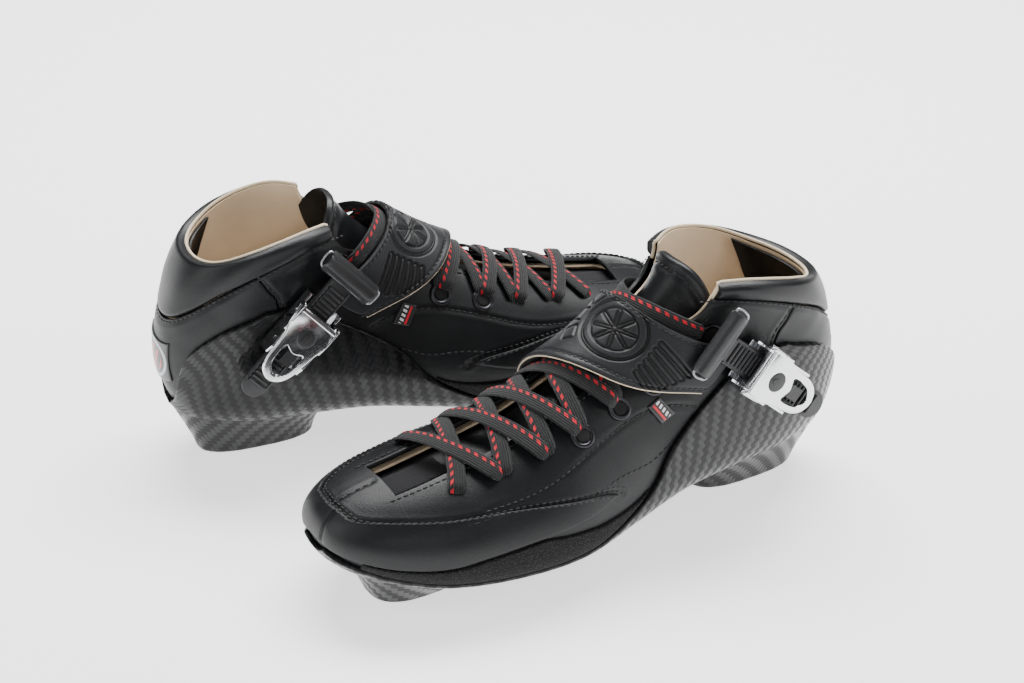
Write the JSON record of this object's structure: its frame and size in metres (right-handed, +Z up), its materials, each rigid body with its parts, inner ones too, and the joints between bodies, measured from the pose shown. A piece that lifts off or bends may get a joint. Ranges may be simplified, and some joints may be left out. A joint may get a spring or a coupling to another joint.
{
  "type": "pair of speed skate boots",
  "caption": "Low-cut black leather skating boots with a carbon shell, laces, an instep strap and a ratchet buckle, standing as a pair.",
  "frame": {"origin": "middle of the pair's footprint on the floor", "axes": "+X along the pair's longest side, with the left boot's toe towards -X; +Z up from the mounting pads"},
  "size_m": [0.3458, 0.2888, 0.1322],
  "materials": {
    "leather": "smooth black leather, semi-gloss",
    "carbon": "clear-coated 2 by 2 twill carbon fibre",
    "rubber": "pebbled, matt",
    "steel": "polished steel",
    "dark_steel": "dull steel",
    "plastic": "moulded black nylon",
    "lining": "matt beige lining leather",
    "textile": "woven black textile",
    "badge": "moulded badge, silver outline"
  },
  "bodies": {
    "boots": {"left_carbon_shell": "carbon", "left_front_mount_insert": "dark_steel", "left_heel_mount_insert": "dark_steel", "left_upper": "leather", "left_heel_counter": "leather", "left_toe_rand": "leather", "left_collar": "leather", "left_tongue": "leather", "left_outer_scuff_patch": "rubber", "left_inner_scuff_patch": "rubber", "left_lining": "lining", "left_heel_lining": "textile", "left_footbed": "textile", "left_lace": "textile", "left_heel_badge": "badge", "left_side_tag": "badge", "left_instep_strap": "leather", "left_buckle_base": "steel", "left_lever_pin": "steel", "left_release_pawl_pin": "dark_steel", "left_release_spring": "dark_steel", "left_buckle_screw": "dark_steel", "left_screw_nut": "dark_steel", "right_carbon_shell": "carbon", "right_front_mount_insert": "dark_steel", "right_heel_mount_insert": "dark_steel", "right_upper": "leather", "right_heel_counter": "leather", "right_toe_rand": "leather", "right_collar": "leather", "right_tongue": "leather", "right_outer_scuff_patch": "rubber", "right_inner_scuff_patch": "rubber", "right_lining": "lining", "right_heel_lining": "textile", "right_footbed": "textile", "right_lace": "textile", "right_heel_badge": "badge", "right_side_tag": "badge", "right_instep_strap": "leather", "right_buckle_base": "steel", "right_lever_pin": "steel", "right_release_pawl_pin": "dark_steel", "right_release_spring": "dark_steel", "right_buckle_screw": "dark_steel", "right_screw_nut": "dark_steel"},
    "left_lever": {"left_buckle_lever": "steel", "left_drive_pawl_pin": "dark_steel"},
    "left_drive_pawl": {"left_drive_pawl": "dark_steel"},
    "left_release_pawl": {"left_release_pawl": "plastic"},
    "left_ladder": {"left_ladder_strap": "plastic", "left_strap_end_cap": "plastic", "left_cap_rivet": "dark_steel"},
    "right_lever": {"right_buckle_lever": "steel", "right_drive_pawl_pin": "dark_steel"},
    "right_drive_pawl": {"right_drive_pawl": "dark_steel"},
    "right_release_pawl": {"right_release_pawl": "plastic"},
    "right_ladder": {"right_ladder_strap": "plastic", "right_strap_end_cap": "plastic", "right_cap_rivet": "dark_steel"}
  },
  "joints": [
    {"name": "left_lever_hinge", "type": "hinge", "parent": "boots", "child": "left_lever", "pos_m": [0.12808, -0.05504, 0.08486], "axis": [-0.5669, -0.3304, -0.7546], "range_deg": [0, 70]},
    {"name": "left_drive_pawl_hinge", "type": "hinge", "parent": "left_lever", "child": "left_drive_pawl", "pos_m": [0.13284, -0.05441, 0.08101], "axis": [-0.5669, -0.3304, -0.7546], "range_deg": [0, 15], "stiffness_Nm_per_rad": 0.02},
    {"name": "left_release_pawl_hinge", "type": "hinge", "parent": "boots", "child": "left_release_pawl", "pos_m": [0.14143, -0.04962, 0.07246], "axis": [0.5669, 0.3304, 0.7546], "range_deg": [0, 12], "stiffness_Nm_per_rad": 0.02},
    {"name": "left_ladder_slide", "type": "slide", "parent": "boots", "child": "left_ladder", "axis": [0.6883, 0.3134, -0.6543], "range_m": [-0.012, 0.01], "deforming": ["left_instep_strap"]},
    {"name": "right_lever_hinge", "type": "hinge", "parent": "boots", "child": "right_lever", "pos_m": [-0.08651, -0.00583, 0.08486], "axis": [-0.6028, -0.2592, 0.7546], "range_deg": [0, 70]},
    {"name": "right_drive_pawl_hinge", "type": "hinge", "parent": "right_lever", "child": "right_drive_pawl", "pos_m": [-0.08986, -0.00928, 0.08101], "axis": [-0.6028, -0.2592, 0.7546], "range_deg": [0, 15], "stiffness_Nm_per_rad": 0.02},
    {"name": "right_release_pawl_hinge", "type": "hinge", "parent": "boots", "child": "right_release_pawl", "pos_m": [-0.09881, -0.01334, 0.07246], "axis": [0.6028, 0.2592, -0.7546], "range_deg": [0, 12], "stiffness_Nm_per_rad": 0.02},
    {"name": "right_ladder_slide", "type": "slide", "parent": "boots", "child": "right_ladder", "axis": [-0.6613, -0.3669, -0.6543], "range_m": [-0.012, 0.01], "deforming": ["right_instep_strap"]}
  ]
}
